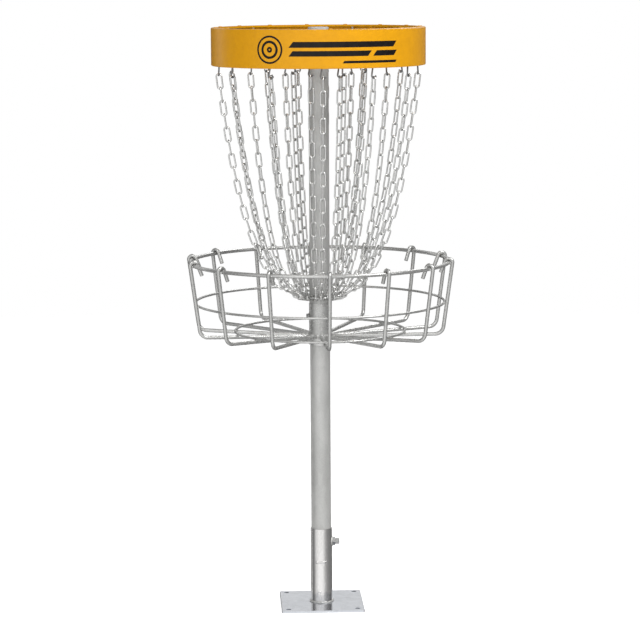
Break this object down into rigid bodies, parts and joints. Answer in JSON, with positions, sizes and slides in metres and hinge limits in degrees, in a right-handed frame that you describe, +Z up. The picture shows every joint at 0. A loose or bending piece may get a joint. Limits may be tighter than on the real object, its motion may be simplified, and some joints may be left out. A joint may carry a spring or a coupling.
{
  "type": "disc golf basket",
  "caption": "Galvanised disc golf target: a pole in a bolted sleeve base, a hooked-rod basket, hanging chains in tiers and a yellow head band.",
  "frame": {"origin": "on the pole's axis, at the underside of the base plate", "axes": "+Z up along the pole, +X towards the lock bolt, X and Y along the base plate's sides"},
  "size_m": [0.6714, 0.6838, 1.477],
  "materials": {
    "galvanised_plate": "bright hot-dip zinc",
    "galvanised_sleeve": "bright zinc, polished tube",
    "galvanised_pole": "matt hot-dip zinc with faint spangle",
    "galvanised_wire": "matt hot-dip zinc",
    "chain_zinc": "plated zinc",
    "hook_steel": "dark plated steel",
    "fastener_zinc": "plated zinc",
    "yellow_powder_coat": "semi-gloss powder coat",
    "grey_plastic": "moulded plastic"
  },
  "bodies": {
    "base": {"base_plate": "galvanised_plate", "anchor_sleeve": "galvanised_sleeve", "lock_nut": "fastener_zinc"},
    "lock_bolt": {"lock_bolt": "fastener_zinc"},
    "foot": {"foot_plug": "grey_plastic"},
    "mast": {"pole": "galvanised_pole", "pole_cap": "grey_plastic", "hub_collar": "galvanised_wire", "top_collar": "galvanised_wire", "collar_bolts": "fastener_zinc", "rim_ring": "galvanised_wire", "mid_ring": "galvanised_wire", "floor_ring": "galvanised_wire", "rod_01": "galvanised_wire", "rod_02": "galvanised_wire", "rod_03": "galvanised_wire", "rod_04": "galvanised_wire", "rod_05": "galvanised_wire", "rod_06": "galvanised_wire", "rod_07": "galvanised_wire", "rod_08": "galvanised_wire", "rod_09": "galvanised_wire", "rod_10": "galvanised_wire", "rod_11": "galvanised_wire", "rod_12": "galvanised_wire", "rod_13": "galvanised_wire", "rod_14": "galvanised_wire", "chain_ring": "galvanised_wire", "hanger_ring_outer": "galvanised_wire", "hanger_ring_middle": "galvanised_wire", "hanger_ring_inner": "galvanised_wire", "top_spokes": "galvanised_wire", "support_ring": "yellow_powder_coat", "band": "yellow_powder_coat", "band_rivets": "yellow_powder_coat", "s_hooks": "hook_steel"},
    "chain_01": {"chain_01": "chain_zinc"},
    "chain_02": {"chain_02": "chain_zinc"},
    "chain_03": {"chain_03": "chain_zinc"},
    "chain_04": {"chain_04": "chain_zinc"},
    "chain_05": {"chain_05": "chain_zinc"},
    "chain_06": {"chain_06": "chain_zinc"},
    "chain_07": {"chain_07": "chain_zinc"},
    "chain_08": {"chain_08": "chain_zinc"},
    "chain_09": {"chain_09": "chain_zinc"},
    "chain_10": {"chain_10": "chain_zinc"},
    "chain_11": {"chain_11": "chain_zinc"},
    "chain_12": {"chain_12": "chain_zinc"},
    "chain_13": {"chain_13": "chain_zinc"},
    "chain_14": {"chain_14": "chain_zinc"},
    "chain_15": {"chain_15": "chain_zinc"},
    "chain_16": {"chain_16": "chain_zinc"},
    "chain_17": {"chain_17": "chain_zinc"},
    "chain_18": {"chain_18": "chain_zinc"},
    "chain_19": {"chain_19": "chain_zinc"},
    "chain_20": {"chain_20": "chain_zinc"},
    "chain_21": {"chain_21": "chain_zinc"},
    "chain_22": {"chain_22": "chain_zinc"},
    "chain_23": {"chain_23": "chain_zinc"},
    "chain_24": {"chain_24": "chain_zinc"}
  },
  "joints": [
    {"name": "lock_bolt_screw", "type": "slide", "parent": "base", "child": "lock_bolt", "axis": [1, 0, 0], "range_m": [0, 0.012]},
    {"name": "mast_lift", "type": "slide", "parent": "base", "child": "foot", "axis": [0, 0, 1], "range_m": [0, 0.2]},
    {"name": "mast_turn", "type": "hinge", "parent": "foot", "child": "mast", "pos_m": [0, 0, 0], "axis": [0, 0, 1], "continuous": true},
    {"name": "chain_01_swing", "type": "hinge", "parent": "mast", "child": "chain_01", "pos_m": [0.036, 0, 0.796], "axis": [0.3562, 0, 0.9344], "range_deg": [-12, 12]},
    {"name": "chain_02_swing", "type": "hinge", "parent": "mast", "child": "chain_02", "pos_m": [0.03477, 0.00932, 0.796], "axis": [0.0872, 0.0234, 0.9959], "range_deg": [-12, 12]},
    {"name": "chain_03_swing", "type": "hinge", "parent": "mast", "child": "chain_03", "pos_m": [0.03118, 0.018, 0.796], "axis": [0.3085, 0.1781, 0.9344], "range_deg": [-12, 12]},
    {"name": "chain_04_swing", "type": "hinge", "parent": "mast", "child": "chain_04", "pos_m": [0.02546, 0.02546, 0.796], "axis": [0.1707, 0.1707, 0.9704], "range_deg": [-12, 12]},
    {"name": "chain_05_swing", "type": "hinge", "parent": "mast", "child": "chain_05", "pos_m": [0.018, 0.03118, 0.796], "axis": [0.1781, 0.3085, 0.9344], "range_deg": [-12, 12]},
    {"name": "chain_06_swing", "type": "hinge", "parent": "mast", "child": "chain_06", "pos_m": [0.00932, 0.03477, 0.796], "axis": [0.0234, 0.0872, 0.9959], "range_deg": [-12, 12]},
    {"name": "chain_07_swing", "type": "hinge", "parent": "mast", "child": "chain_07", "pos_m": [0, 0.036, 0.796], "axis": [0, 0.3562, 0.9344], "range_deg": [-12, 12]},
    {"name": "chain_08_swing", "type": "hinge", "parent": "mast", "child": "chain_08", "pos_m": [-0.00932, 0.03477, 0.796], "axis": [-0.0625, 0.2332, 0.9704], "range_deg": [-12, 12]},
    {"name": "chain_09_swing", "type": "hinge", "parent": "mast", "child": "chain_09", "pos_m": [-0.018, 0.03118, 0.796], "axis": [-0.1781, 0.3085, 0.9344], "range_deg": [-12, 12]},
    {"name": "chain_10_swing", "type": "hinge", "parent": "mast", "child": "chain_10", "pos_m": [-0.02546, 0.02546, 0.796], "axis": [-0.0639, 0.0639, 0.9959], "range_deg": [-12, 12]},
    {"name": "chain_11_swing", "type": "hinge", "parent": "mast", "child": "chain_11", "pos_m": [-0.03118, 0.018, 0.796], "axis": [-0.3085, 0.1781, 0.9344], "range_deg": [-12, 12]},
    {"name": "chain_12_swing", "type": "hinge", "parent": "mast", "child": "chain_12", "pos_m": [-0.03477, 0.00932, 0.796], "axis": [-0.2332, 0.0625, 0.9704], "range_deg": [-12, 12]},
    {"name": "chain_13_swing", "type": "hinge", "parent": "mast", "child": "chain_13", "pos_m": [-0.036, 0, 0.796], "axis": [-0.3562, 0, 0.9344], "range_deg": [-12, 12]},
    {"name": "chain_14_swing", "type": "hinge", "parent": "mast", "child": "chain_14", "pos_m": [-0.03477, -0.00932, 0.796], "axis": [-0.0872, -0.0234, 0.9959], "range_deg": [-12, 12]},
    {"name": "chain_15_swing", "type": "hinge", "parent": "mast", "child": "chain_15", "pos_m": [-0.03118, -0.018, 0.796], "axis": [-0.3085, -0.1781, 0.9344], "range_deg": [-12, 12]},
    {"name": "chain_16_swing", "type": "hinge", "parent": "mast", "child": "chain_16", "pos_m": [-0.02546, -0.02546, 0.796], "axis": [-0.1707, -0.1707, 0.9704], "range_deg": [-12, 12]},
    {"name": "chain_17_swing", "type": "hinge", "parent": "mast", "child": "chain_17", "pos_m": [-0.018, -0.03118, 0.796], "axis": [-0.1781, -0.3085, 0.9344], "range_deg": [-12, 12]},
    {"name": "chain_18_swing", "type": "hinge", "parent": "mast", "child": "chain_18", "pos_m": [-0.00932, -0.03477, 0.796], "axis": [-0.0234, -0.0872, 0.9959], "range_deg": [-12, 12]},
    {"name": "chain_19_swing", "type": "hinge", "parent": "mast", "child": "chain_19", "pos_m": [0, -0.036, 0.796], "axis": [0, -0.3562, 0.9344], "range_deg": [-12, 12]},
    {"name": "chain_20_swing", "type": "hinge", "parent": "mast", "child": "chain_20", "pos_m": [0.00932, -0.03477, 0.796], "axis": [0.0625, -0.2332, 0.9704], "range_deg": [-12, 12]},
    {"name": "chain_21_swing", "type": "hinge", "parent": "mast", "child": "chain_21", "pos_m": [0.018, -0.03118, 0.796], "axis": [0.1781, -0.3085, 0.9344], "range_deg": [-12, 12]},
    {"name": "chain_22_swing", "type": "hinge", "parent": "mast", "child": "chain_22", "pos_m": [0.02546, -0.02546, 0.796], "axis": [0.0639, -0.0639, 0.9959], "range_deg": [-12, 12]},
    {"name": "chain_23_swing", "type": "hinge", "parent": "mast", "child": "chain_23", "pos_m": [0.03118, -0.018, 0.796], "axis": [0.3085, -0.1781, 0.9344], "range_deg": [-12, 12]},
    {"name": "chain_24_swing", "type": "hinge", "parent": "mast", "child": "chain_24", "pos_m": [0.03477, -0.00932, 0.796], "axis": [0.2332, -0.0625, 0.9704], "range_deg": [-12, 12]}
  ]
}
